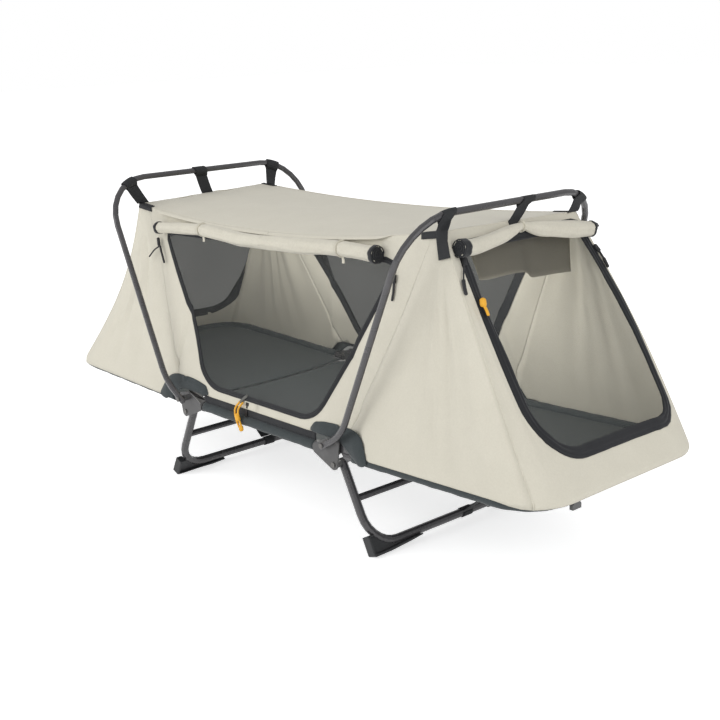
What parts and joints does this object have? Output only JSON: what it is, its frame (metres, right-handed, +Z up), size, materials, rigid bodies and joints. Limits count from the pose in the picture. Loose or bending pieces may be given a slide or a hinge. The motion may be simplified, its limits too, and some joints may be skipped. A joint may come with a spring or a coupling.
{
  "type": "tent cot",
  "caption": "Folding camp bed with a sewn canopy hung from two hoops, a mesh door in each side, a mesh window in each end, and folding legs.",
  "frame": {"origin": "on the ground, under the middle of the overall size", "axes": "+X along the bed towards its right end, +Y across the bed away from the viewer, +Z up"},
  "size_m": [2.1729, 0.8046, 0.972],
  "materials": {
    "frame_tube": "semi-gloss dark grey paint",
    "casting": "satin grey-brown paint",
    "rivet": "zinc-plated rivet heads",
    "foot_rubber": "matt black",
    "bed_cloth": "dark grey coated polyester",
    "tent_cloth": "tan coated polyester",
    "mesh": "fine dark insect mesh",
    "webbing": "black webbing",
    "slider": "black painted zip slider"
  },
  "bodies": {
    "bed": {"middle_rail_near": "frame_tube", "middle_rail_far": "frame_tube", "knuckle_near_left": "casting", "knuckle_near_right": "casting", "knuckle_far_left": "casting", "knuckle_far_right": "casting", "middle_deck": "bed_cloth", "roof_panel": "tent_cloth", "side_wall_near": "tent_cloth", "side_wall_far": "tent_cloth", "side_cover_roll_near": "tent_cloth", "side_cover_roll_far": "tent_cloth", "gusset_near_left": "bed_cloth", "gusset_near_right": "bed_cloth", "gusset_far_left": "bed_cloth", "gusset_far_right": "bed_cloth"},
    "hoop_left": {"hoop_left": "frame_tube", "hoop_pin_near_left": "rivet", "hoop_pin_far_left": "rivet", "hoop_strap_near_left": "webbing", "hoop_strap_middle_left": "webbing", "hoop_strap_far_left": "webbing", "end_wall_left": "tent_cloth", "end_window_mesh_left": "mesh", "end_cover_roll_left": "tent_cloth"},
    "end_section_left": {"end_frame_left": "frame_tube", "end_deck_left": "bed_cloth", "end_pin_near_left": "rivet", "end_pin_far_left": "rivet"},
    "leg_left": {"leg_left": "frame_tube", "leg_pin_near_left": "rivet", "leg_pin_far_left": "rivet", "foot_near_left": "foot_rubber", "foot_far_left": "foot_rubber", "leg_strap_left": "webbing"},
    "hoop_right": {"hoop_right": "frame_tube", "hoop_pin_near_right": "rivet", "hoop_pin_far_right": "rivet", "hoop_strap_near_right": "webbing", "hoop_strap_middle_right": "webbing", "hoop_strap_far_right": "webbing", "end_wall_right": "tent_cloth", "end_window_mesh_right": "mesh", "end_cover_roll_right": "tent_cloth"},
    "end_section_right": {"end_frame_right": "frame_tube", "end_deck_right": "bed_cloth", "end_pin_near_right": "rivet", "end_pin_far_right": "rivet"},
    "leg_right": {"leg_right": "frame_tube", "leg_pin_near_right": "rivet", "leg_pin_far_right": "rivet", "foot_near_right": "foot_rubber", "foot_far_right": "foot_rubber", "leg_strap_right": "webbing"},
    "door_near": {"side_door_mesh_near": "mesh"},
    "door_far": {"side_door_mesh_far": "mesh"},
    "zip_near": {"zip_slider_near": "slider"},
    "zip_far": {"zip_slider_far": "slider"},
    "zip_left": {"zip_slider_left": "slider"},
    "zip_right": {"zip_slider_right": "slider"}
  },
  "joints": [
    {"name": "hoop_left_fold", "type": "hinge", "parent": "bed", "child": "hoop_left", "pos_m": [-0.336, 0, 0.303], "axis": [0, 1, 0], "range_deg": [0, 112.5], "deforming": ["end_wall_left", "end_cover_roll_left", "end_window_mesh_left", "hoop_strap_near_left", "hoop_strap_middle_left", "hoop_strap_far_left", "roof_panel", "side_wall_near", "side_wall_far", "side_cover_roll_near", "side_cover_roll_far", "side_door_mesh_near", "side_door_mesh_far", "zip_slider_near", "zip_slider_far", "gusset_near_left", "gusset_near_right", "gusset_far_left", "gusset_far_right"]},
    {"name": "end_section_left_fold", "type": "hinge", "parent": "bed", "child": "end_section_left", "pos_m": [-0.375, 0, 0.298], "axis": [0, 1, 0], "range_deg": [0, 178.2], "deforming": ["end_deck_left"]},
    {"name": "leg_left_fold", "type": "hinge", "parent": "bed", "child": "leg_left", "pos_m": [-0.3615, 0, 0.249], "axis": [0, -1, 0], "range_deg": [0, 115], "deforming": ["leg_strap_left"]},
    {"name": "hoop_right_fold", "type": "hinge", "parent": "bed", "child": "hoop_right", "pos_m": [0.336, 0, 0.303], "axis": [0, -1, 0], "range_deg": [0, 112.5], "deforming": ["end_wall_right", "end_cover_roll_right", "end_window_mesh_right", "hoop_strap_near_right", "hoop_strap_middle_right", "hoop_strap_far_right"]},
    {"name": "end_section_right_fold", "type": "hinge", "parent": "bed", "child": "end_section_right", "pos_m": [0.375, 0, 0.314], "axis": [0, -1, 0], "range_deg": [0, 178.2], "deforming": ["end_deck_right"]},
    {"name": "leg_right_fold", "type": "hinge", "parent": "bed", "child": "leg_right", "pos_m": [0.3615, 0, 0.249], "axis": [0, 1, 0], "range_deg": [0, 115], "deforming": ["leg_strap_right"]},
    {"name": "door_near_drop", "type": "hinge", "parent": "bed", "child": "door_near", "pos_m": [0, -0.33204, 0.343], "axis": [1, 0, 0], "range_deg": [0, 110]},
    {"name": "door_far_drop", "type": "hinge", "parent": "bed", "child": "door_far", "pos_m": [0, 0.33204, 0.343], "axis": [-1, 0, 0], "range_deg": [0, 110]},
    {"name": "zip_near_slide", "type": "slide", "parent": "bed", "child": "zip_near", "axis": [1, 0, 0], "range_m": [-0.09, 0.2]},
    {"name": "zip_far_slide", "type": "slide", "parent": "bed", "child": "zip_far", "axis": [1, 0, 0], "range_m": [-0.09, 0.2]},
    {"name": "zip_left_slide", "type": "slide", "parent": "hoop_left", "child": "zip_left", "axis": [-0.5632, -0.045, -0.8251], "range_m": [-0.04, 0.3]},
    {"name": "zip_right_slide", "type": "slide", "parent": "hoop_right", "child": "zip_right", "axis": [0.5389, -0.043, -0.8413], "range_m": [-0.07, 0.3]}
  ],
  "couplings": [
    {"joint": "end_section_left_fold", "follows": "hoop_left_fold", "ratio": 1.584},
    {"joint": "end_section_right_fold", "follows": "hoop_right_fold", "ratio": 1.584}
  ]
}
